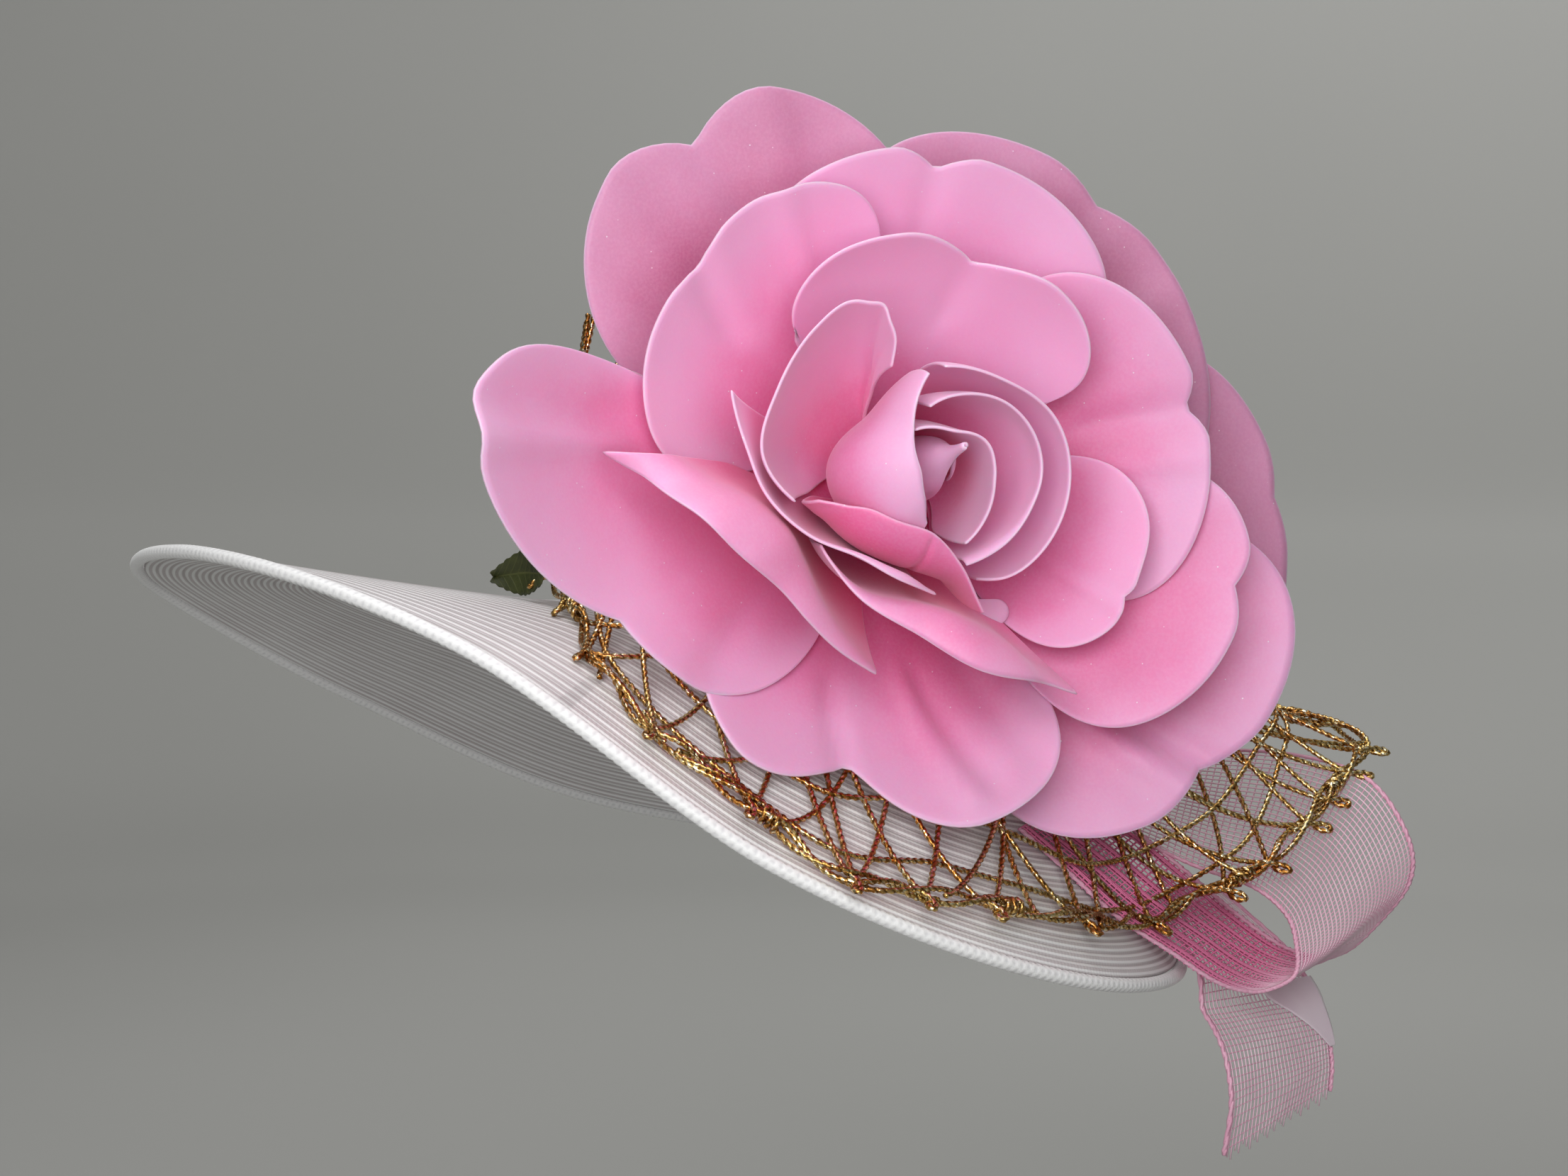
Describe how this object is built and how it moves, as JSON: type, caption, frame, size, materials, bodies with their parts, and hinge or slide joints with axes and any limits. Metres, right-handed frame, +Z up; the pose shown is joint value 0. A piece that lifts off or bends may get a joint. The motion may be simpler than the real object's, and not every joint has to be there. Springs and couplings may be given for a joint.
{
  "type": "race day hat",
  "caption": "Wide drooping brim hat of white sewn braid with a large pink foam rose, a gold cord net and an open-mesh ribbon bow at the wearer's front left.",
  "frame": {"origin": "centre of the head opening, at the height where crown and brim meet", "axes": "+Z up along the crown, -Y to the wearer's front, +X to the wearer's left"},
  "size_m": [0.5715, 0.4822, 0.4363],
  "materials": {
    "braid": "white sewn paper braid, satin sheen",
    "edge_cord": "white knitted cord",
    "foam": "pink closed-cell foam sheet with a fine glitter",
    "gold_cord": "metallic gold twisted cord",
    "ribbon_mesh": "pale pink open-weave stiff ribbon",
    "satin": "pale satin ribbon",
    "leaf": "dark olive cloth leaf"
  },
  "bodies": {
    "root": {"crown": "braid", "brim": "braid", "brim_edge": "edge_cord", "gold_net": "gold_cord", "crin_bow": "ribbon_mesh", "crin_tail": "ribbon_mesh", "satin_tail": "satin", "leaf": "leaf", "rose_base": "foam", "petal_back_top_left": "foam", "petal_back_top_right": "foam", "petal_back_right": "foam", "petal_back_low_right": "foam", "petal_back_low": "foam", "petal_back_left": "foam", "petal_mid_top": "foam", "petal_mid_left": "foam", "petal_mid_right": "foam", "petal_mid_low_right": "foam", "petal_inner_top": "foam", "petal_inner_right": "foam", "petal_rolled_left": "foam", "petal_lip_low": "foam", "petal_side_left": "foam", "petal_folded_top": "foam", "petal_bud_low": "foam", "bud_left": "foam", "bud_right": "foam", "bud_third": "foam", "bud_second": "foam", "bud_core": "foam"}
  },
  "joints": []
}
